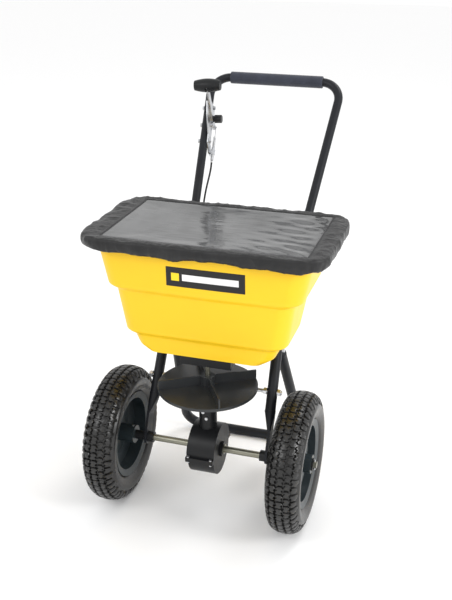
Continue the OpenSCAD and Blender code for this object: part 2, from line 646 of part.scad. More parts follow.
module turned_lever() translate([0, pivot[0], pivot[1]]) rotate([lever_tilt, 0, 0]) children();
module lever() machine() color(zinc) on_leg() turned_lever() difference() {
    union() {
        hull() {
            bar_x(lever_x, lever_x + lever_t, 9);
            translate([0, 0, lever_reach - 8]) bar_x(lever_x, lever_x + lever_t, 7);
        }
        hull() {
            bar_x(lever_x, lever_x + lever_t, 9);
            translate([0, 0, -wire_out - 2]) bar_x(lever_x, lever_x + lever_t, 7);
        }
        translate([lever_x, 0, lever_reach]) bar_x(-20, 26, 5);
    }
    bar_x(lever_x - 1, lever_x + lever_t + 1, 4 + fit);
    for (s = [-2, 2]) translate([0, 0, -wire_out + s]) bar_x(lever_x - 1, lever_x + lever_t + 1, 2.9);
    translate([lever_x - 1, -2.9, -wire_out - 2]) cube([lever_t + 2, 5.8, 4]);
}
module lever_grip() machine() color(dark) on_leg() turned_lever()
    translate([0, 0, lever_reach]) difference() {
        translate([lever_x - 31, 0, 0]) along_x() rotate_extrude() polygon(
            concat([[0, 0]], [for (a = [-70 : 20 : 70]) [10 + 7.5 * cos(a), 34 + 34 * a / 70]], [[0, 68]]));
        bar_x(lever_x - 20, lever_x + 26, 5 + e);
        translate([lever_x - gap, -20, -20]) cube([lever_t + 2 * gap, 40, 20.5]);
    }
// Knob that clamps the lever on its stud
knob_x = lever_x + lever_t + gap;
module lock_knob() machine() color(black) on_leg() translate([0, pivot[0], pivot[1]]) difference() {
    union() {
        bar_x(knob_x, knob_x + 22, 8.2);
        bar_x(knob_x + 12, knob_x + 22, 9.6);
        for (k = [0 : 5]) rotate([60 * k, 0, 0]) translate([0, 8, 0]) bar_x(knob_x + 3, knob_x + 22, 2.6);
    }
    bar_x(knob_x - 1, knob_x + 17, 4 + fit);
}

// ---------- cable ----------

wire_line = [lever_x + lever_t + 3, 22.3, 0];
wire_top = pivot[1] - wire_line[1] / tan(lever_tilt);
ferrule_top = -65;
// Inner wire with its end barrel, which hangs in the lever's slot
module inner_wire() machine() color(zinc) on_leg() translate([wire_line[0], wire_line[1], 0]) {
    translate([0, 0, ferrule_top - 8]) cylinder(h = wire_top - ferrule_top + 8, r = 0.9);
    translate([-wire_line[0], 0, wire_top]) bar_x(lever_x + 0.2, wire_line[0] + 2, 2.1);
}
// Bracket and threaded adjuster that hold the top end of the sheath
module cable_adjuster() machine() color(zinc) on_leg() difference() {
    union() {
        translate([wire_line[0], wire_line[1], ferrule_top - 38]) cylinder(h = 38, r = 4);
        translate([wire_line[0], wire_line[1], ferrule_top - 12]) cylinder(h = 4, r = 6.5, $fn = 6);
        translate([wire_line[0], wire_line[1], ferrule_top - 22]) cylinder(h = 4, r = 6.5, $fn = 6);
        translate([plate_x + plate_t, wire_line[1] - 6, ferrule_top - 17.9])
            cube([wire_line[0] - plate_x - plate_t + 4, 12, 5.8]);
    }
    translate([wire_line[0], wire_line[1], ferrule_top - 34]) cylinder(h = 40, r = 1.6);
}
// Spring around the adjuster's top that keeps the wire taut
module cable_spring() machine() color(zinc) on_leg() translate([wire_line[0], wire_line[1], ferrule_top + 0.2])
    ring_z(0, 30, 4.5, 2.4);

function to_world(p) = [-leg_at[0], leg_at[1], leg_at[2]]
    + leg_in * p[0] + leg_back * p[1] + leg_dir * p[2];
sheath_r = 2.5;
sheath_top = to_world([wire_line[0], wire_line[1], ferrule_top - 38]);
sheath_next = to_world([wire_line[0], wire_line[1], ferrule_top - 70]);
sheath_end = [shaft_x, anchor_y + 26.3, wire_z];
// Route of the sheath from the adjuster down along the leg, behind the hopper and to the anchor
ROUTE = [[-128, 385, 662], [-121, 326, 591], [-113, 268, 521], [-105, 232, 470], [-92, 212, 434],
    [-70, 204, 410], [-42, 202, 398], [-18, 197, 393], [-2, 184, 392.5]];
function catmull(a, b, c, d, t) = 0.5 * ((2 * b) + (c - a) * t + (2 * a - 5 * b + 4 * c - d) * t * t
    + (3 * b - a - 3 * c + d) * t * t * t);
SPINE = concat([sheath_top, sheath_next], ROUTE, [sheath_end + [0, 14, 0], sheath_end]);
function spine_at(i) = i < 0 ? 2 * SPINE[0] - SPINE[1]
    : i >= len(SPINE) ? 2 * SPINE[len(SPINE) - 1] - SPINE[len(SPINE) - 2] : SPINE[i];
function smooth(steps) = concat([for (i = [0 : len(SPINE) - 2], k = [0 : steps - 1])
    catmull(spine_at(i - 1), SPINE[i], SPINE[i + 1], spine_at(i + 2), k / steps)], [SPINE[len(SPINE) - 1]]);
module sweep(path, r, sides) {
    n = len(path);
    rings = [for (i = [0 : n - 1]) let(
        d = unit(path[min(i + 1, n - 1)] - path[max(i - 1, 0)]),
        u = unit(cross(d, [1, 0.3, 0])), v = cross(d, u))
        [for (k = [0 : sides - 1]) path[i] + r * (cos(360 * k / sides) * u + sin(360 * k / sides) * v)]];
    loft(rings);
}
module cable_sheath() machine() color(black) sweep(smooth(5), sheath_r, 8);

// ---------- cover and label ----------

cover_w = 281;
cover_front = -73;
cover_back = 259;
cover_z = 689;
hem_z = 661;
window_w = 238;
window_front = -42;
window_back = 236;
module rain_cover() machine() color("#26262a") difference() {
    loft([ring(cover_w - 2, cover_front + 2, cover_back - 2, 62, hem_z),
        ring(cover_w, cover_front, cover_back, 62, cover_z - 8),
        ring(cover_w - 6, cover_front + 6, cover_back - 6, 56, cover_z)]);
    loft([ring(flange_w + 3, flange_front - 3, flange_back + 3, 60, hem_z - 1),
        ring(flange_w + 3, flange_front - 3, flange_back + 3, 60, cover_z - 3)]);
    translate([-window_w, window_front, cover_z - 10])
        cube([2 * window_w, window_back - window_front, 20]);
}
module cover_window() machine() color("#b9bcc0", 0.5)
    translate([-window_w - 8, window_front - 8, cover_z - 4.3])
        cube([2 * window_w + 16, window_back - window_front + 16, 1]);
module front_label() machine() color("#17181a")
    translate([17, -43, 613]) rotate([atan2(5, 116), 0, 0]) translate([-89, -0.8, -23]) cube([178, 0.8, 46]);

hopper();
outlet_base();
base_bolts();
shutter_plate();
shutter_guides();
cable_anchor();
agitator();
impeller();
impeller_shaft();
shaft_pins();
pinion_gear();
crown_gear();
crown_pin();
gearbox_upper();
gearbox_lower();
gearbox_screws();
gearbox_bushes();
shaft_bushes();
axle();
drive_pin();
cotter_pins();
axle_washers();
axle_bearings();
tyre_left();
tyre_right();
rim_left();
rim_right();
inner_tube_left();
inner_tube_right();
valve_left();
valve_right();
frame_leg_left();
frame_leg_right();
tie_rod();
tie_nuts();
hopper_bracket();
bracket_bolts();
stand();
stand_bolts();
handle();
handle_bolts();
foam_grip();
gauge_plate();
plate_bolts();
lever();
lever_grip();
lock_knob();
inner_wire();
cable_adjuster();
cable_spring();
cable_sheath();
rain_cover();
cover_window();
front_label();
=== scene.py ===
"""Walk-behind broadcast spreader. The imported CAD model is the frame; this script adds the treaded
tyres, the moulded hopper, the fabric cover with its clear window, the foam, cable and spring, and
every material. Metres, Z up, front towards -Y."""

import json
import math
import random

import bmesh
import bpy
import numpy as np
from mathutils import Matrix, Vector, noise


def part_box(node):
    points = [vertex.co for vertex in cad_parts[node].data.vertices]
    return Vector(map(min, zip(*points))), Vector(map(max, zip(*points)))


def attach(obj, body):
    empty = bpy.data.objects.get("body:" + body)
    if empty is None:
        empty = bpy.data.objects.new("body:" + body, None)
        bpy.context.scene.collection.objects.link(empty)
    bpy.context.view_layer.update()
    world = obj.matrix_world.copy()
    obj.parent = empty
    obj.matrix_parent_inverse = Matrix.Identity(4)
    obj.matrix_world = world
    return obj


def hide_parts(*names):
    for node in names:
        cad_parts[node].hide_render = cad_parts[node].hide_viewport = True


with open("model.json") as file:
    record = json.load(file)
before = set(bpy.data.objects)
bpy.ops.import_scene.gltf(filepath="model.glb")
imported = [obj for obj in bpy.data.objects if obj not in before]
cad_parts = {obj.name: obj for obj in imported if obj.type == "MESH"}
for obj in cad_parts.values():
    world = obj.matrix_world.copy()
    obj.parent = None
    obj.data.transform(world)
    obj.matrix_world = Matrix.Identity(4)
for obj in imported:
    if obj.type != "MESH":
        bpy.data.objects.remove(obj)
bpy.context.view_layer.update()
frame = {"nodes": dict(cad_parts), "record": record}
random.seed(7)

MM = 0.001
axle_lo, axle_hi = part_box("axle")
AXLE = (axle_lo + axle_hi) / 2  # middle of the wheel axle


def at(x, y, z):
    """A point given in mm from the axle's middle on the ground line, as the part's source gives it."""
    return Vector((x * MM, AXLE.y + y * MM, z * MM))


# ---------------------------------------------------------------- camera, light, floor


def make_camera():
    """The view of the machine from its front right, a little from above."""
    cam = bpy.data.objects.new("camera", bpy.data.cameras.new("camera"))
    bpy.context.scene.collection.objects.link(cam)
    back = Vector((0.2732, -0.8747, 0.4002)).normalized()
    cam.rotation_mode = "QUATERNION"
    cam.rotation_quaternion = (-back).to_track_quat("-Z", "Y")
    cam.location = (0.593, AXLE.y - 1.742, 1.348)
    cam.data.lens = 54.37
    cam.data.sensor_width = 36
    cam.data.clip_end = 60
    bpy.context.scene.camera = cam


def area_light(name, where, target, size, power, color=(1, 1, 1)):
    data = bpy.data.lights.new(name, "AREA")
    data.shape, data.size, data.energy, data.color = "DISK", size, power, color
    lamp = bpy.data.objects.new(name, data)
    bpy.context.scene.collection.objects.link(lamp)
    lamp.location = where
    aim = Vector(target) - Vector(where)
    lamp.rotation_mode = "QUATERNION"
    lamp.rotation_quaternion = aim.to_track_quat("-Z", "Y")


def make_stage():
    """White surroundings, a pale floor and three soft lamps."""
    world = bpy.data.worlds.new("studio")
    world.use_nodes = True
    background = world.node_tree.nodes["Background"]
    background.inputs["Color"].default_value = (1, 1, 1, 1)
    background.inputs["Strength"].default_value = 1.0
    bpy.context.scene.world = world
    bm = bmesh.new()
    bmesh.ops.create_grid(bm, x_segments=1, y_segments=1, size=12)
    mesh = bpy.data.meshes.new("floor")
    bm.to_mesh(mesh)
    floor = bpy.data.objects.new("floor", mesh)
    bpy.context.scene.collection.objects.link(floor)
    floor.location.z = -0.0005
    mat = bpy.data.materials.new("floor")
    mat.use_nodes = True
    shader = mat.node_tree.nodes["Principled BSDF"]
    shader.inputs["Base Color"].default_value = (0.97, 0.97, 0.97, 1)
    shader.inputs["Roughness"].default_value = 0.95
    mesh.materials.append(mat)
    area_light("key", (-1.6, -2.6, 2.6), (0, 0, 0.5), 1.2, 22)
    area_light("side", (2.6, -0.9, 1.7), (0, 0, 0.5), 1.0, 34)
    area_light("back", (1.3, 1.7, 3.4), (0, 0, 0.6), 1.2, 26)


# ---------------------------------------------------------------- materials


class Shader:
    """A Principled material with a few shorthands for its procedural detail."""

    def __init__(self, name, color, rough, metal=0.0, **sockets):
        self.mat = bpy.data.materials.new(name)
        self.mat.use_nodes = True
        self.tree = self.mat.node_tree
        self.bsdf = self.tree.nodes["Principled BSDF"]
        self.set(self.bsdf, "Base Color", (*color, 1))
        self.set(self.bsdf, "Roughness", rough)
        self.set(self.bsdf, "Metallic", metal)
        for key, value in sockets.items():
            self.set(self.bsdf, key.replace("_", " "), value)
        self.color, self.rough = color, rough
        self.coords = self.tree.nodes.new("ShaderNodeTexCoord").outputs["Object"]
        self.normal = None

    @staticmethod
    def set(node, socket, value):
        node.inputs[socket].default_value = value

    def node(self, kind, **sockets):
        made = self.tree.nodes.new(kind)
        for key, value in sockets.items():
            name = key.replace("_", " ")
            if isinstance(value, bpy.types.NodeSocket):
                self.tree.links.new(value, made.inputs[name])
            else:
                made.inputs[name].default_value = value
        return made

    def stretched(self, scale):
        made = self.node("ShaderNodeMapping", Vector=self.coords)
        made.inputs["Scale"].default_value = scale
        return made.outputs["Vector"]

    def noise(self, scale, detail=3.0, rough=0.5, vector=None):
        made = self.node("ShaderNodeTexNoise", Vector=vector or self.coords, Scale=scale, Detail=detail,
                         Roughness=rough)
        return made.outputs["Fac"]

    def ramp(self, fac, stops):
        made = self.node("ShaderNodeValToRGB", Fac=fac)
        band = made.color_ramp
        while len(band.elements) < len(stops):
            band.elements.new(0.5)
        for element, (position, value) in zip(band.elements, stops):
            element.position = position
            element.color = (*value, 1) if hasattr(value, "__len__") else (value, value, value, 1)
        return made.outputs["Color"]

    def mottle(self, scale, low, high, detail=4.0, vector=None):
        """Colour that drifts between low and high times the base colour."""
        fac = self.noise(scale, detail, 0.6, vector)
        dark = tuple(min(1, c * low) for c in self.color)
        light = tuple(min(1, c * high) for c in self.color)
        self.tree.links.new(self.ramp(fac, [(0.3, dark), (0.7, light)]), self.bsdf.inputs["Base Color"])
        return self

    def wear(self, scale, color, start=0.62, end=0.8, rough_up=0.15):
        """Patches of dust or rub marks over whatever colour is there."""
        fac = self.ramp(self.noise(scale, 8.0, 0.7), [(start, 0.0), (end, 1.0)])
        base = self.bsdf.inputs["Base Color"]
        mix = self.tree.nodes.new("ShaderNodeMix")
        mix.data_type = "RGBA"
        self.tree.links.new(fac, mix.inputs["Factor"])
        if base.is_linked:
            self.tree.links.new(base.links[0].from_socket, mix.inputs["A"])
        else:
            mix.inputs["A"].default_value = base.default_value
        mix.inputs["B"].default_value = (*color, 1)
        self.tree.links.new(mix.outputs["Result"], base)
        return self

    def gloss(self, scale, spread, vector=None):
        """Roughness that varies by spread each way."""
        made = self.node("ShaderNodeMapRange", Value=self.noise(scale, 4.0, 0.6, vector))
        made.inputs["To Min"].default_value = max(0.02, self.rough - spread)
        made.inputs["To Max"].default_value = min(1.0, self.rough + spread)
        self.tree.links.new(made.outputs["Result"], self.bsdf.inputs["Roughness"])
        return self

    def bump(self, height, strength, distance):
        made = self.node("ShaderNodeBump", Height=height, Strength=strength, Distance=distance)
        if self.normal:
            self.tree.links.new(self.normal, made.inputs["Normal"])
        self.normal = made.outputs["Normal"]
        self.tree.links.new(self.normal, self.bsdf.inputs["Normal"])
        return self

    def grain(self, scale, strength, distance=0.0003, detail=3.0, vector=None):
        return self.bump(self.noise(scale, detail, 0.5, vector), strength, distance)


def moulded(name, color, rough, grain=900.0, spec=0.4, **sockets):
    s = Shader(name, color, rough, **sockets)
    s.set(s.bsdf, "Specular IOR Level", spec)
    return (s.mottle(14, 0.88, 1.12).gloss(60, 0.07)
            .grain(grain, 0.16, 0.0002).grain(22, 0.10, 0.001, 1.0).mat)


def metal(name, color, rough, stretch=(1, 1, 1), tarnish=None):
    s = Shader(name, color, rough, 1.0)
    v = s.stretched(stretch)
    s.mottle(40, 0.8, 1.12, 5.0, v).gloss(90, 0.12, v).grain(500, 0.12, 0.0001, 4.0, v)
    if tarnish:
        s.wear(70, tarnish, 0.58, 0.8)
    return s.mat


def make_materials():
    m = {}
    s = Shader("yellow_plastic", (0.91, 0.575, 0.013), 0.40, Coat_Weight=0.05, Coat_Roughness=0.3)
    s.set(s.bsdf, "Specular IOR Level", 0.32)
    s.mottle(5, 0.96, 1.03).gloss(30, 0.06).grain(650, 0.10, 0.0002).grain(9, 0.22, 0.002, 2.0)
    m["yellow_plastic"] = s.wear(45, (0.80, 0.50, 0.03), 0.70, 0.95).mat
    s = Shader("black_frame", (0.0085, 0.0095, 0.0125), 0.42, Coat_Weight=0.05, Coat_Roughness=0.25)
    s.set(s.bsdf, "Specular IOR Level", 0.24)
    s.mottle(30, 0.8, 1.3).gloss(80, 0.08).grain(1500, 0.25, 0.0002, 2.0)
    m["black_frame"] = s.wear(120, (0.05, 0.05, 0.052), 0.68, 0.9).mat
    m["black_plastic"] = moulded("black_plastic", (0.0085, 0.009, 0.010), 0.40, spec=0.28)
    m["grey_plastic"] = moulded("grey_plastic", (0.026, 0.028, 0.030), 0.30, spec=0.40)
    m["rim_plastic"] = moulded("rim_plastic", (0.020, 0.028, 0.032), 0.34, spec=0.42)
    m["dull_steel"] = metal("dull_steel", (0.27, 0.265, 0.215), 0.36, (1, 14, 14), (0.16, 0.14, 0.10))
    m["zinc"] = metal("zinc", (0.60, 0.61, 0.63), 0.36, (3, 3, 3), (0.40, 0.40, 0.39))
    s = Shader("tyre_rubber", (0.0088, 0.0085, 0.0082), 0.31)
    s.set(s.bsdf, "Specular IOR Level", 0.55)
    s.mottle(24, 0.75, 1.35).gloss(70, 0.13).grain(900, 0.3, 0.0003, 4.0)
    m["tyre_rubber"] = s.wear(60, (0.024, 0.022, 0.019), 0.60, 0.9).mat
    m["tube_rubber"] = moulded("tube_rubber", (0.02, 0.02, 0.02), 0.6)
    m["foam"] = foam_material()
    m["cover_fabric"] = fabric_material()
    m["window_vinyl"] = vinyl_material()
    m["label_film"] = moulded("label_film", (0.006, 0.006, 0.007), 0.3, 300.0)
    m["label_white"] = moulded("label_white", (0.85, 0.85, 0.85), 0.35, 300.0)
    m["label_yellow"] = moulded("label_yellow", (0.93, 0.66, 0.015), 0.35, 300.0)
    m["thread"] = moulded("thread", (0.03, 0.03, 0.032), 0.6, 1500.0)
    return m


def foam_material():
    s = Shader("foam", (0.030, 0.034, 0.050), 0.75, Sheen_Weight=0.2, Sheen_Roughness=0.5)
    s.set(s.bsdf, "Specular IOR Level", 0.3)
    s.mottle(35, 0.8, 1.25)
    pores = s.node("ShaderNodeTexVoronoi", Vector=s.coords, Scale=900.0)
    s.bump(pores.outputs["Distance"], 0.5, 0.0005).grain(130, 0.3, 0.0008)
    return s.gloss(200, 0.1).mat


def fabric_material():
    """Coated plain-weave polyester: two crossed sets of threads, a soft sheen and paler patches scattered at
    random.
    """
    s = Shader("cover_fabric", (0.0068, 0.0068, 0.0072), 0.36, Sheen_Weight=0.03, Sheen_Roughness=0.4)
    s.set(s.bsdf, "Specular IOR Level", 0.42)
    s.mottle(18, 0.75, 1.4)
    waves = []
    for direction in ("X", "Y"):
        w = s.node("ShaderNodeTexWave", Vector=s.coords, Scale=420.0, Distortion=0.3)
        w.bands_direction = direction
        waves.append(w.outputs["Fac"])
    weave = s.node("ShaderNodeMath")
    weave.operation = "MULTIPLY"
    s.tree.links.new(waves[0], weave.inputs[0])
    s.tree.links.new(waves[1], weave.inputs[1])
    s.bump(weave.outputs[0], 0.35, 0.0004).grain(55, 0.4, 0.0015, 5.0)
    return s.gloss(35, 0.12).wear(38, (0.04, 0.04, 0.042), 0.62, 0.9).mat


def vinyl_material():
    """Clear film, glossy, a little see-through, with fine ripples; its grey base colour is painted shade, the
    dark shaded inside of the hopper as seen through the film.
    """
    s = Shader("window_vinyl", (0.085, 0.086, 0.087), 0.11, Alpha=0.94, Coat_Weight=0.12, Coat_Roughness=0.06)
    v = s.stretched((1.0, 2.4, 1.0))
    s.mottle(5, 0.62, 1.5, 3.0, s.stretched((1.6, 0.7, 1.0))).gloss(20, 0.04)
    return s.grain(14, 0.22, 0.004, 3.0, v).grain(90, 0.10, 0.0005).mat


# ---------------------------------------------------------------- mesh helpers


def add_mesh(name, verts, faces, mats, body, smooth=True, replaces=(), index=None):
    """A new piece that rides on a body, with its normals outwards."""
    mesh = bpy.data.meshes.new(name)
    mesh.from_pydata([tuple(v) for v in verts], [], faces)
    mesh.validate()
    for mat in mats if isinstance(mats, (list, tuple)) else [mats]:
        mesh.materials.append(mat)
    if index is not None:
        mesh.polygons.foreach_set("material_index", index)
    if smooth:
        mesh.shade_smooth()
    bm = bmesh.new()
    bm.from_mesh(mesh)
    bmesh.ops.recalc_face_normals(bm, faces=bm.faces)
    bm.to_mesh(mesh)
    obj = bpy.data.objects.new(name, mesh)
    bpy.context.scene.collection.objects.link(obj)
    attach(obj, body)
    if replaces:
        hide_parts(*replaces)
    return obj


def modified(obj):
    """Applies every modifier on obj."""
    graph = bpy.context.evaluated_depsgraph_get()
    mesh = bpy.data.meshes.new_from_object(obj.evaluated_get(graph))
    obj.modifiers.clear()
    obj.data = mesh
    return obj


def strips(rows, n, closed=True, first=0):
    """Quads between rows of n vertices each, numbered row by row from first."""
    faces = []
    for j in range(rows - 1):
        for i in range(n if closed else n - 1):
            k = (i + 1) % n
            a, b = first + j * n, first + (j + 1) * n
            faces.append((a + i, a + k, b + k, b + i))
    return faces


def tube(points, radius, sides=12, caps=True):
    """A round tube along a list of points; radius is one number or one for each point."""
    pts = [Vector(p) for p in points]
    radii = radius if hasattr(radius, "__len__") else [radius] * len(pts)
    verts, side = [], None
    for i, p in enumerate(pts):
        d = (pts[min(i + 1, len(pts) - 1)] - pts[max(i - 1, 0)]).normalized()
        side = d.orthogonal() if side is None else (side - d * side.dot(d))
        side.normalize()
        other = d.cross(side)
        for k in range(sides):
            a = 2 * math.pi * k / sides
            verts.append(p + radii[i] * (math.cos(a) * side + math.sin(a) * other))
    faces = strips(len(pts), sides)
    if caps:
        faces += [tuple(range(sides))[::-1], tuple((len(pts) - 1) * sides + k for k in range(sides))]
    return verts, faces


def joined(parts):
    verts, faces = [], []
    for v, f in parts:
        n = len(verts)
        verts += list(v)
        faces += [tuple(i + n for i in face) for face in f]
    return verts, faces


def catmull(points, steps):
    """A smooth curve through the points, with steps pieces between each two."""
    out = []
    pts = [2 * Vector(points[0]) - Vector(points[1])] + [Vector(p) for p in points]
    pts.append(2 * pts[-1] - pts[-2])
    for a, b, c, d in zip(pts, pts[1:], pts[2:], pts[3:]):
        for k in range(steps):
            t = k / steps
            out.append(0.5 * (2 * b + (c - a) * t + (2 * a - 5 * b + 4 * c - d) * t * t
                              + (3 * b - a - 3 * c + d) * t ** 3))
    return out + [Vector(points[-1])]


# ---------------------------------------------------------------- tyres

# Outside of the tyre from the middle of the tread to the bead: (sideways, radius) in mm
SECTION = [(0, 165), (12, 164), (21.5, 161.2), (29.5, 156), (35.6, 148.6), (39, 140), (39.8, 130.5),
           (38.2, 120.5), (34.6, 112), (31, 106.8), (28, 104.5), (25.7, 96.4)]
PITCHES = 54  # times that the tread's pattern repeats round the tyre
GROOVE = 5.6  # depth of the tread, mm
SHOULDER = 57  # distance from the middle of the tread to where the grooves end, mm


class Section:
    """The curve of the tyre's outside, by distance from the middle of the tread."""

    def __init__(self):
        pts = catmull([Vector((a, r, 0)) for a, r in [(-12, 164)] + SECTION], 12)[12:]
        self.p = np.array([[q.x, q.y] for q in pts])
        step = np.linalg.norm(np.diff(self.p, axis=0), axis=1)
        self.s = np.concatenate([[0], np.cumsum(step)])
        d = np.gradient(self.p, axis=0)
        d /= np.linalg.norm(d, axis=1)[:, None]
        self.n = np.stack([-d[:, 1], d[:, 0]], 1)
        self.n[0] = (0, 1)

    def at(self, s, height):
        side, s = (-1 if s < 0 else 1), abs(s)
        x, r = (np.interp(s, self.s, self.p[:, k]) for k in (0, 1))
        nx, nr = (np.interp(s, self.s, self.n[:, k]) for k in (0, 1))
        return side * (x + nx * height), r + nr * height


def tread_blocks():
    """Outlines of the blocks on one pitch, (along, across) in mm: middle, between, and two shoulder lugs."""
    zig = [(-8.0, -4.4), (-3.4, -8.8), (0.6, -4.0), (5.0, -7.6), (8.2, -3.6), (7.8, 4.6), (3.2, 8.8),
           (-0.8, 4.0), (-5.2, 7.4), (-8.0, 4.2)]
    mid = [(-7.6, 12.6), (-2.6, 9.4), (1.8, 13.2), (6.2, 10.2), (8.2, 15.0), (6.6, 21.6), (1.6, 24.6),
           (-2.2, 20.6), (-6.4, 22.8), (-8.2, 17.6)]
    lug = [(-7.0, 26.0), (-2.0, 29.6), (2.2, 24.8), (6.8, 28.4), (6.2, 36.0), (4.6, 52.0), (-4.2, 54.0),
           (-5.4, 44.0), (-8.0, 36.0)]
    short = [(-6.6, 28.2), (-1.4, 24.6), (3.0, 29.0), (7.0, 26.2), (7.4, 33.0), (4.6, 44.6), (-3.8, 45.6),
             (-6.4, 38.0)]
    return zig, mid, lug, short


def tyre(side, name, node):
    """A grooved carcass of revolution with rows of separate tread blocks set into it."""
    curve = Section()
    total = float(curve.s[-1])
    lo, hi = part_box(node)
    centre = (lo + hi) / 2
    outer = (hi.z - lo.z) / 2 / MM

    def place(s, height, angle):
        """The point at distance s from the tread's middle, raised by height, at an angle round the axle."""
        x, r = curve.at(s, height)
        r = min(r, outer)
        return (centre.x + x * MM, centre.y + r * MM * math.sin(angle), centre.z + r * MM * math.cos(angle))

    def base(s):
        """Height of the carcass over the section's curve: grooved under the tread, two ribs on the wall."""
        s = abs(s)
        ribs = 0.5 * sum(math.exp(-((s - q) / 1.1) ** 2) for q in (66, 79))
        return -GROOVE * min(1, max(0, (SHOULDER - s) / 9)) + ribs

    around = 192
    stops = list(np.linspace(-total, total, 81))
    shell = [(s, base(s)) for s in stops] + [(s * 0.985, -7.0 - 1.2 * (abs(s) < 56)) for s in stops[::-1]]
    verts = []
    for s, h in shell:
        verts += [place(s, h, 2 * math.pi * k / around) for k in range(around)]
    faces = strips(len(shell), around)
    n = (len(shell) - 1) * around
    faces += [(n + i, n + (i + 1) % around, (i + 1) % around, i) for i in range(around)]
    parts = [(verts, faces)]
    zig, mid, lug, short = tread_blocks()
    pitch = 2 * math.pi / PITCHES
    for k in range(PITCHES):
        rows = [(zig, 1, 0.0), (mid, 1, 0.5), (mid, -1, 0.0), (lug if k % 2 else short, 1, 0.0),
                (short if k % 2 else lug, -1, 0.5)]
        for outline, flip, shift in rows:
            middle = np.mean(outline, axis=0)
            rings = [(1.08, -6.4), (1.0, -1.5), (0.89, -0.35), (0.60, 0.0)]  # (share of outline, height)
            v = []
            for scale, h in rings:
                for u, s in outline:
                    u, s = middle[0] + (u - middle[0]) * scale, middle[1] + (s - middle[1]) * scale
                    sink = 0.11 * max(0, abs(s) - 33)
                    v.append(place(flip * s, h - sink, (k + shift) * pitch + flip * u / outer))
            m = len(outline)
            f = strips(len(rings), m) + [tuple((len(rings) - 1) * m + i for i in range(m))]
            parts.append((v, f))
    v, f = joined(parts)
    body = "axle_set" if side < 0 else "free_wheel"
    obj = add_mesh(name, v, f, M["tyre_rubber"], body, replaces=(node,))
    obj.data.set_sharp_from_angle(angle=math.radians(38))
    return obj


# ---------------------------------------------------------------- hopper


def ring_points(w, y0, y1, r, steps=12, spans=(14, 8)):
    """A rounded rectangle, corner by corner, with points along its straight sides too."""
    corners = [(w - r, y1 - r, 0), (-(w - r), y1 - r, 90), (-(w - r), y0 + r, 180), (w - r, y0 + r, 270)]
    out = []
    for q, (cx, cy, start) in enumerate(corners):
        for k in range(steps + 1):
            a = math.radians(start + 90 * k / steps)
            out.append((cx + r * math.cos(a), cy + r * math.sin(a)))
        nx, ny, begin = corners[(q + 1) % 4]
        a = math.radians(begin)
        end = (nx + r * math.cos(a), ny + r * math.sin(a))
        n = spans[q % 2]
        for k in range(1, n):
            t = k / n
            out.append((out[-k][0] + (end[0] - out[-k][0]) * t, out[-k][1] + (end[1] - out[-k][1]) * t))
    return out


FRONT_BOW = 5.0  # how far the middle of the hopper's front stands out, mm
# The hopper's outside, level by level: (half width, front, back, corner radius, height) in mm
LEVELS = [(138, -18, 104, 26, 407), (160, -19, 120, 30, 420), (174, -21, 142, 34, 448),
          (191, -27, 150, 36, 455), (207, -35, 190, 36, 561), (225, -41, 198, 38, 568),
          (250, -47, 231, 42, 684)]


def wall_profile():
    """The hopper's side from floor to rim with every crease rounded off."""
    z = np.array([v[4] for v in LEVELS], float)
    data = np.array([v[:4] for v in LEVELS], float)
    fine = np.arange(z[0], z[-1] + 0.1, 0.5)
    cols = np.stack([np.interp(fine, z, data[:, k]) for k in range(4)], 1)
    soft = cols.copy()
    half = 7
    for i in range(len(fine)):
        h = min(half, i, len(fine) - 1 - i)
        soft[i] = cols[i - h:i + h + 1].mean(0)
    keep = sorted(set(range(0, len(fine), 16)) | {len(fine) - 1}
                  | {i for i, q in enumerate(fine) if any(abs(q - c) <= 6 for c in z[1:-1])})
    return [(*soft[i], fine[i]) for i in keep]


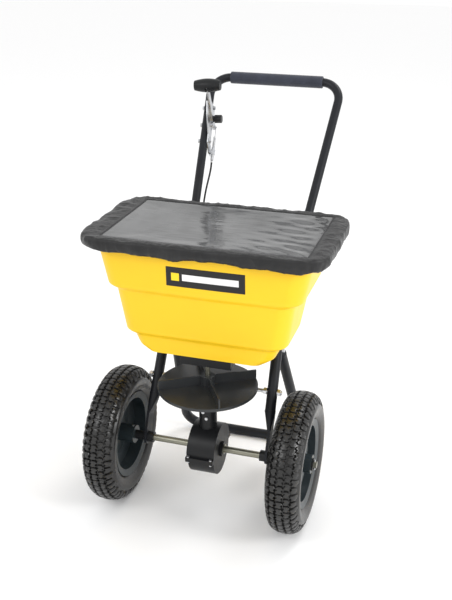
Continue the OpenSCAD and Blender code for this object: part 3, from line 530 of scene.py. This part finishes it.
def hopper():
    """The moulded hopper: stepped walls with soft creases, a hollow flanged rim and ports in its floor."""
    wall = 4.0
    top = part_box("hopper")[1].z / MM
    outside = wall_profile()
    rings = [(w - wall, a + wall, b - wall, max(6, r - wall), z + wall if z < 412 else z)
             for w, a, b, r, z in outside if z < 412 or z > 415]
    rings = [q for q in rings if q[4] < top - 6]
    inner = list(rings)
    lip = [(244.5, -44, 227, 42, top - 5), (245.5, -45, 228, 43, top - 1.5), (248, -47, 230, 44, top),
           (267, -61, 247, 55, top), (270.5, -64.5, 250.5, 57, top - 1), (272, -66, 252, 58, top - 4),
           (272, -66, 252, 58, top - 15), (271, -65, 251, 57, top - 16), (269, -63, 249, 56, top - 16),
           (268, -62, 248, 55, top - 14), (268, -62, 248, 55, top - 7), (266, -60, 246, 54, top - 4.5),
           (251, -50, 233, 46, top - 4.5), (248.5, -48, 231, 45, top - 6)]
    down = [(w, a, b, r, z) for w, a, b, r, z in reversed(outside) if z < top - 8]
    verts, rows = [], 0
    for w, a, b, r, z in inner + lip + down:
        # the front wall bows outwards; the flange round the rim is straight
        bow = FRONT_BOW * min(1, max(0, (z - 440) / 60)) * (0 if w > 252 else 1)
        for x, y in ring_points(w, a, b, r):
            if y < (a + b) / 2:
                y -= bow * max(0, 1 - (x / (w * 0.92)) ** 2) * (1 if y < a + r * 0.9 else 0)
            verts.append(at(x, y, z))
        rows += 1
    n = len(verts) // rows
    faces = strips(rows, n)
    faces += [tuple(range(n)), tuple((rows - 1) * n + k for k in range(n))[::-1]]
    obj = add_mesh("hopper_shell", verts, faces, M["yellow_plastic"], "frame", replaces=("hopper",))
    cut = []
    for x, y, r in [(-21, 50, 10.5), (31, 50, 10.5), (5, 0, 7)]:
        cut.append(tube([at(x, y, 400), at(x, y, 416)], r * MM, 48))
    v, f = joined(cut)
    tool = bpy.data.objects.new("cutter", bpy.data.meshes.new("cutter"))
    tool.data.from_pydata([tuple(p) for p in v], [], f)
    bpy.context.scene.collection.objects.link(tool)
    cutter = obj.modifiers.new("ports", "BOOLEAN")
    cutter.object, cutter.operation, cutter.solver = tool, "DIFFERENCE", "EXACT"
    bpy.context.view_layer.update()
    modified(obj)
    bpy.data.objects.remove(tool)
    obj.data.set_sharp_from_angle(angle=math.radians(50))
    return obj


# ---------------------------------------------------------------- cover


def cover():
    """Black fabric over the rim with a clear window sewn in: cloth that sags, then is gathered at its hem."""
    lo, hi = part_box("rain_cover")
    hem_z, top_z = lo.z / MM, hi.z / MM
    nx, ny = 72, 40
    xs = np.linspace(-224.0, 236.0, nx + 1)
    ys = np.linspace(-44.0, 232.0, ny + 1)
    verts = [[x, y, top_z - 3] for y in ys for x in xs]
    faces = [(j * (nx + 1) + i, j * (nx + 1) + i + 1, (j + 1) * (nx + 1) + i + 1, (j + 1) * (nx + 1) + i)
             for j in range(ny) for i in range(nx)]
    window_faces = len(faces)
    loop = ([i for i in range(nx)] + [j * (nx + 1) + nx for j in range(ny)]
            + [ny * (nx + 1) + nx - i for i in range(nx)] + [(ny - j) * (nx + 1) for j in range(ny)])
    inner = np.array([verts[i][:2] for i in loop])
    # the same walk round the cover's outline
    edge = outline_points(nx, ny, 277.5, -69.5, 255.5, 60)
    # from the seam to the cover's edge (share of the way, height), then down the skirt (outwards, height)
    path = [(0.2, top_z - 2.6), (0.4, top_z - 2.2), (0.6, top_z - 2.2), (0.8, top_z - 2.6),
            (0.93, top_z - 3.4), (1.0, top_z - 6)]
    skirt = [(0.6, top_z - 11), (0.9, top_z - 16), (0.8, top_z - 21), (-0.6, hem_z + 1.5),
             (-3.6, hem_z - 0.5)]
    rings = [loop]
    for t, z in path:
        rings.append(list(range(len(verts), len(verts) + len(loop))))
        for (ax, ay), (bx, by) in zip(inner, edge):
            verts.append([ax + (bx - ax) * t, ay + (by - ay) * t, z])
    middle = np.array([0, 93.0])
    for out, z in skirt:
        rings.append(list(range(len(verts), len(verts) + len(loop))))
        for x, y in edge:
            d = np.array([x, y]) - middle
            d /= np.linalg.norm(d)
            verts.append([x + d[0] * out, y + d[1] * out, z])
    for a, b in zip(rings, rings[1:]):
        n = len(a)
        faces += [(a[i], a[(i + 1) % n], b[(i + 1) % n], b[i]) for i in range(n)]
    points = [at(*v) for v in verts]
    sheet = add_mesh("cover_cloth", points, faces, [M["window_vinyl"], M["cover_fabric"]], "cover",
                     index=[0] * window_faces + [1] * (len(faces) - window_faces))
    settle(sheet, rings)
    co = [v.co.copy() for v in sheet.data.vertices]
    bpy.data.objects.remove(sheet)
    crumple(co, rings, (nx, ny), edge)
    # window: the grid and a strip that lies just under the border
    keep = sorted(set(range((nx + 1) * (ny + 1))) | set(rings[1]))
    order = {old: new for new, old in enumerate(keep)}
    depth = {**dict.fromkeys(loop, 0.0004), **dict.fromkeys(rings[1], 0.0009)}
    under = [co[i] - Vector((0, 0, depth.get(i, 0))) for i in keep]
    wf = [tuple(order[i] for i in f) for f in faces[:window_faces + len(loop)]]
    window = add_mesh("cover_window_film", under, wf, M["window_vinyl"], "cover", replaces=("cover_window",))
    refine(window, 0.0005)
    keep = [i for ring in rings for i in ring]
    order = {old: new for new, old in enumerate(keep)}
    cf = [tuple(order[i] for i in f) for f in faces[window_faces:]]
    fabric = add_mesh("cover_border", [co[i] for i in keep], cf, M["cover_fabric"], "cover",
                      replaces=("rain_cover",))
    refine(fabric, 0.0011, wrinkled)
    trims = [hem_cord([co[i] for i in rings[-1]]), seam([co[i] for i in loop], [co[i] for i in rings[1]])]


def crumple(co, rings, cells, edge):
    """Creases where the hem is gathered, a wavy hem, and ripples in the film towards its right end."""
    rng = np.random.default_rng(11)
    step = [math.dist(a, b) for a, b in zip(edge, edge[1:] + edge[:1])]
    run = np.concatenate([[0], np.cumsum(step)])
    around = run[-1]
    creases, s = [], 8.0
    while s < around:
        creases.append((s, rng.uniform(4.0, 10.0), rng.uniform(-2.4, 4.4), rng.uniform(-30, 30)))
        s += rng.uniform(16, 46)
    out_share = [0, 0, 0, 0, 0.1, 0.25, 0.5, 0.85, 1.0, 1.0, 0.9, 0.6]
    up_share = [0.0, 0.25, 0.4, 0.5, 0.65, 0.9, 1.0, 0.6, 0.2, 0, 0, 0]
    hem_share = [0, 0, 0, 0, 0, 0, 0, 0.1, 0.3, 0.6, 1.0, 1.0]
    middle = at(0, 93, 0)
    for n, ring in enumerate(rings):
        for k, i in enumerate(ring):
            p, s = co[i], run[k]
            fold = 0.0
            for s0, width, depth, lean in creases:
                d = abs((s - s0 - lean * n / 11 + around / 2) % around - around / 2)
                if d < 5 * width:
                    fold += depth * math.exp(-(d / width) ** 1.4)
            away = Vector((p.x - middle.x, p.y - middle.y, 0))
            away = Vector((away.x * 0.35, away.y, 0)).normalized()
            wave = 1.3 * math.sin(s / 41) + 0.9 * math.sin(s / 23 + 1.7) + 0.6 * math.sin(s / 13 + 0.4)
            p += away * (fold * 0.75 + 0.4 * wave) * out_share[n] * MM
            p.z += (0.45 * abs(fold) + 0.35 * wave + 0.5) * up_share[n] * MM
            p.z += (1.5 * wave + 0.7 * fold) * hem_share[n] * MM
    nx, ny = cells
    for j in range(1, ny):
        for i in range(1, nx):
            p = co[j * (nx + 1) + i]
            u, v = i / nx, j / ny
            edge_near = min(1.0, 8 * min(u, 1 - u, v, 1 - v))
            x, y = p.x / MM, p.y / MM
            folds = 1.6 * math.sin(y / 5.2 + 0.05 * x) + math.sin(y / 8.9 - 0.04 * x)
            gather = math.exp(-(1 - u) * 7.5) * folds
            corner = math.exp(-((1 - u) ** 2 + v ** 2) * 22) * 1.6 * math.sin((x + 1.4 * y) / 8)
            sag = -1.6 * math.sin(math.pi * u) * math.sin(math.pi * v)
            broad = 0.8 * math.sin(x / 47 + 0.6 * math.sin(y / 31)) + 0.5 * math.sin(y / 38 + x / 90)
            p.z += (gather + corner + sag + broad) * edge_near * MM


def outline_points(nx, ny, w, y0, y1, r):
    """Points of a rounded rectangle that pair with a walk round an nx by ny grid's edge."""
    cy = (y0 + y1) / 2
    hy = (y1 - y0) / 2

    out = []
    walk = ([(-1 + 2 * i / nx, -1) for i in range(nx)] + [(1, -1 + 2 * j / ny) for j in range(ny)]
            + [(1 - 2 * i / nx, 1) for i in range(nx)] + [(-1, 1 - 2 * j / ny) for j in range(ny)])
    for u, v in walk:
        x, y = u * w, v * hy
        dx, dy = abs(x) - (w - r), abs(y) - (hy - r)
        if dx > 0 and dy > 0:
            # spread this stretch of the side evenly over its half of the corner
            a = math.atan2(dy, dx) if dx != dy else math.pi / 4
            x = math.copysign(w - r + r * math.cos(a), x)
            y = math.copysign(hy - r + r * math.sin(a), y)
        out.append((x, y + cy))
    return out


def settle(sheet, rings):
    """Cloth under gravity over the hopper's rim, held at its gathered hem."""
    pin = sheet.vertex_groups.new(name="pin")
    pin.add(rings[-1], 1.0, "REPLACE")
    pin.add(rings[-2], 0.5, "REPLACE")
    slack = sheet.vertex_groups.new(name="slack")
    for ring in rings[1:]:
        slack.add(ring, 1.0, "REPLACE")
    slack.add(rings[0], 0.5, "REPLACE")
    rim = [(247.5, -47.5, 230.5, 44, 679), (249, -49, 232, 45, 683.4), (264, -58, 244, 54, 683.8),
           (269, -63, 249, 57, 683), (271.5, -65.5, 251.5, 58, 679), (271.5, -65.5, 251.5, 58, 668)]
    verts = [at(x, y, z) for w, a, b, r, z in rim for x, y in ring_points(w, a, b, r, 8, (10, 6))]
    n = len(verts) // len(rim)
    mesh = bpy.data.meshes.new("rim")
    mesh.from_pydata([tuple(v) for v in verts], [], [f[::-1] for f in strips(len(rim), n)])
    bar = bpy.data.objects.new("rim", mesh)
    bpy.context.scene.collection.objects.link(bar)
    bar.modifiers.new("touch", "COLLISION")
    bar.collision.thickness_outer = 0.0015
    cloth = sheet.modifiers.new("cloth", "CLOTH")
    s = cloth.settings
    s.quality, s.mass, s.air_damping = 8, 0.0003, 1.0
    s.tension_stiffness = s.compression_stiffness = 60
    s.shear_stiffness, s.bending_stiffness = 30, 0.8
    s.vertex_group_mass = "pin"
    s.vertex_group_shrink = "slack"
    s.shrink_min, s.shrink_max = 0.0, -0.01
    s.effector_weights.gravity = 1.0
    c = cloth.collision_settings
    c.distance_min, c.collision_quality = 0.0015, 4
    frames = 22
    cloth.point_cache.frame_end = frames
    for f in range(1, frames + 1):
        bpy.context.scene.frame_set(f)
    modified(sheet)
    bpy.data.objects.remove(bar)
    bpy.context.scene.frame_set(1)


def wrinkled(obj, seam_box):
    """Sharp small creases in the border, none along the window's seam."""
    normals = [v.normal.copy() for v in obj.data.vertices]
    for v, normal in zip(obj.data.vertices, normals):
        q = v.co / MM
        away = max(abs(q.x - seam_box[0]) - seam_box[1], abs(q.y - seam_box[2]) - seam_box[3])
        share = min(1.0, max(0.0, away / 14))
        long_fold = 1 - 2.4 * abs(noise.noise(Vector((q.x / 34, q.y / 34, q.z / 60))))
        small = 1 - 2.4 * abs(noise.noise(Vector((q.x / 13 + 7, q.y / 13, q.z / 22))))
        v.co += normal * ((1.7 * long_fold + 0.8 * small) * share * MM)


def refine(obj, thick, shape=None):
    """Subdivides a sheet, shapes its finer mesh if asked to, and gives it thickness."""
    sub = obj.modifiers.new("smooth", "SUBSURF")
    sub.levels = sub.render_levels = 2 if shape else 1
    if shape:
        modified(obj)
        mid = at(3, 94, 0) / MM
        shape(obj, (mid.x, 233, mid.y, 138))
    solid = obj.modifiers.new("thick", "SOLIDIFY")
    solid.thickness, solid.offset = thick, 0
    modified(obj)
    obj.data.shade_smooth()


def hem_cord(points):
    """The elastic cord's bulge along the hem."""
    loop = points + points[:2]
    v, f = tube([Vector(p) + Vector((0, 0, 0.001)) for p in loop], 0.0021, 8, False)
    return add_mesh("cover_hem", v, f, M["cover_fabric"], "cover")


def seam(inside, outside):
    """Short stitches along the window's edge."""
    parts, n = [], len(inside)
    for i in range(n):
        for q in range(2):
            a = inside[i].lerp(inside[(i + 1) % n], (q + 0.15) / 2)
            b = inside[i].lerp(inside[(i + 1) % n], (q + 0.72) / 2)
            shift = (outside[i] - inside[i]).normalized() * 0.003 + Vector((0, 0, 0.0009))
            a, b = a + shift, b + shift
            mid = (a + b) / 2 + Vector((0, 0, 0.0004))
            parts.append(tube([a, mid, b], [0.00025, 0.00045, 0.00025], 6))
    v, f = joined(parts)
    return add_mesh("cover_stitches", v, f, M["thread"], "cover")


# ---------------------------------------------------------------- handle, cable, label

SLOPE = Vector((0.098, 0.826, 1.0))  # how the handle's leg leans for each mm of height
REF = Vector((152.8, 405.9, 687.5))  # a point on the leg's axis, mm


def leg_point(z):
    return REF + SLOPE * (z - REF.z)


# the left leg's own frame: up along it, inwards, and to its back; the hand control is built in it
leg_dir = Vector((-SLOPE.x, SLOPE.y, SLOPE.z)).normalized()
leg_in = (Vector((1, 0, 0)) - leg_dir * leg_dir.x).normalized()
leg_back = leg_dir.cross(leg_in)
leg_at = leg_point(823)


def on_leg(x, y, z):
    """A point in the frame of the left leg (mm), in metres."""
    p = Vector((-leg_at.x, leg_at.y, leg_at.z)) + leg_in * x + leg_back * y + leg_dir * z
    return at(*p)


def foam_grip():
    """The foam sleeve on the handle's cross bar: a tube with rounded ends and a slightly uneven skin."""
    lo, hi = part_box("foam_grip")
    centre, half = (lo + hi) / 2, (hi.x - lo.x) / 2
    outer, bore = (hi.z - lo.z) / 2, 0.01106
    rng = np.random.default_rng(3)
    wave = rng.normal(0, 1, (9, 2))
    profile = [(-1.0, 0.72), (-1.0, 0.86), (-0.994, 0.955), (-0.975, 0.995)]
    profile += [(t, 1.0) for t in np.linspace(-0.95, 0.95, 40)] + [(-a, b) for a, b in profile[::-1]]
    verts, sides = [], 48
    for t, scale in profile:
        for k in range(sides):
            a = 2 * math.pi * k / sides
            soft = sum(size * math.cos((i + 1) * 2.1 * t + shift + a * (i % 3))
                       for i, (size, shift) in enumerate(wave))
            if scale > 0.9:
                share = scale - 0.012 * (1 + soft / 6)
            else:
                share = (scale - 0.72) / 0.28 * 0.9
            r = bore + (outer - bore) * share
            verts.append((centre.x + half * t, centre.y + r * math.cos(a), centre.z + r * math.sin(a)))
    rows = len(profile)
    faces = strips(rows, sides)
    inner = len(verts)
    for t in (-0.99, 0.99):
        for k in range(sides):
            a = 2 * math.pi * k / sides
            verts.append((centre.x + half * t, centre.y + bore * math.cos(a), centre.z + bore * math.sin(a)))
    faces += strips(2, sides, first=inner)
    for k in range(sides):
        j = (k + 1) % sides
        faces.append((k, inner + k, inner + j, j))
        faces.append(((rows - 1) * sides + k, (rows - 1) * sides + j, inner + sides + j, inner + sides + k))
    obj = add_mesh("foam_sleeve", verts, faces, M["foam"], "frame", replaces=("foam_grip",))


def cable():
    """The shutter cable's sheath with its ferrules, the return spring's coil and the adjuster's thread."""
    wire = (21.0, 22.3)  # the wire's place beside the handle's leg, mm
    top, end = on_leg(*wire, -103), at(5, 150.3, 390.7)
    route = [(-128, 385, 662), (-121, 326, 591), (-113, 268, 521), (-105, 232, 470), (-92, 212, 434),
             (-70, 204, 410), (-42, 202, 398), (-18, 197, 393), (-2, 184, 392.5)]
    spine = [top, on_leg(*wire, -135)] + [at(*p) for p in route] + [at(5, 164.3, 390.7), end]
    path = catmull(spine, 8)
    v, f = tube(path, 0.0025, 16)
    add_mesh("cable_sleeve", v, f, M["black_plastic"], "frame", replaces=("cable_sheath",))
    caps = [tube([path[0], path[2]], [0.0031, 0.0028], 16), tube([path[-1], path[-3]], [0.0031, 0.0028], 16)]
    v, f = joined(caps)
    add_mesh("cable_ferrules", v, f, M["zinc"], "frame")
    turns, pts = 11, []
    for k in range(turns * 14 + 1):
        a = 2 * math.pi * k / 14
        z = -64.2 + 28.6 * k / (turns * 14)
        pts.append(on_leg(wire[0] + 3.7 * math.cos(a), wire[1] + 3.7 * math.sin(a), z))
    v, f = tube(pts, 0.0006, 8)
    add_mesh("coil_spring", v, f, M["zinc"], "frame", replaces=("cable_spring",))
    threads = []
    for k in range(22 * 12 + 1):
        a = 2 * math.pi * k / 12
        threads.append(on_leg(wire[0] + 4.0 * math.cos(a), wire[1] + 4.0 * math.sin(a), -102 + 36 * k / 264))
    v, f = tube(threads, 0.0004, 6)
    add_mesh("adjuster_thread", v, f, M["zinc"], "frame")


def label():
    """A black plate with a plain square and a plain bar."""
    lo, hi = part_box("front_label")
    half_x, centre = (hi.x - lo.x) / 2, (lo + hi) / 2
    tilt = math.atan2(5, 116)
    front = Vector((0, -math.cos(tilt), -math.sin(tilt)))
    up = Vector((0, -math.sin(tilt), math.cos(tilt)))

    def plate(name, x0, x1, z0, z1, depth, mat, swaps=()):
        verts, n = [], 24
        corner = min(0.0015, (x1 - x0) / 4)
        for d in (depth - 0.0016, depth - 0.0002, depth):
            s = corner if d == depth else 0.0
            for z in (z0 + s * 0.3, z1 - s * 0.3):
                for k in range(n + 1):
                    x = x0 + s * 0.3 + (x1 - x0 - s * 0.6) * k / n
                    mm = x / MM
                    lift = FRONT_BOW * max(0, 1 - (mm / 216) ** 2) * MM
                    verts.append(Vector((x, centre.y, centre.z)) + up * z + front * (d + lift - 0.0003))
        faces, m = [], n + 1
        rows = 2 * m
        for layer in range(2):
            a, b = layer * rows, (layer + 1) * rows
            for k in range(n):
                faces.append((a + k, a + k + 1, b + k + 1, b + k))
                faces.append((a + m + k, b + m + k, b + m + k + 1, a + m + k + 1))
            faces.append((a, b, b + m, a + m))
            faces.append((a + n, a + m + n, b + m + n, b + n))
        t = 2 * rows
        for k in range(n):
            faces.append((t + k, t + k + 1, t + m + k + 1, t + m + k))
            faces.append((k, m + k, m + k + 1, k + 1))
        return add_mesh(name, verts, faces, mat, "frame", smooth=False, replaces=swaps)

    left = centre.x - half_x
    plate("label_plate", left, centre.x + half_x, -0.0228, 0.0228, 0.0008, M["label_film"], ("front_label",))
    plate("label_square", left + 0.012, left + 0.030, -0.009, 0.009, 0.0011, M["label_yellow"])
    plate("label_bar", left + 0.037, centre.x + half_x - 0.014, -0.0075, 0.0075, 0.0011, M["label_white"])


# ---------------------------------------------------------------- build

bpy.context.scene.view_settings.view_transform = "Standard"
M = make_materials()
SLOTS = {s["node"]: s["material_slot"] for s in frame["record"]["subparts"]}
for node_name, node_obj in frame["nodes"].items():
    mat = M["rim_plastic"] if node_name.startswith("rim_") else M[SLOTS[node_name]]
    for holder in node_obj.material_slots:
        holder.material = mat
make_camera()
make_stage()
tyre(-1, "tread_left", "tyre_left")
tyre(1, "tread_right", "tyre_right")
hopper()
cover()
foam_grip()
cable()
label()
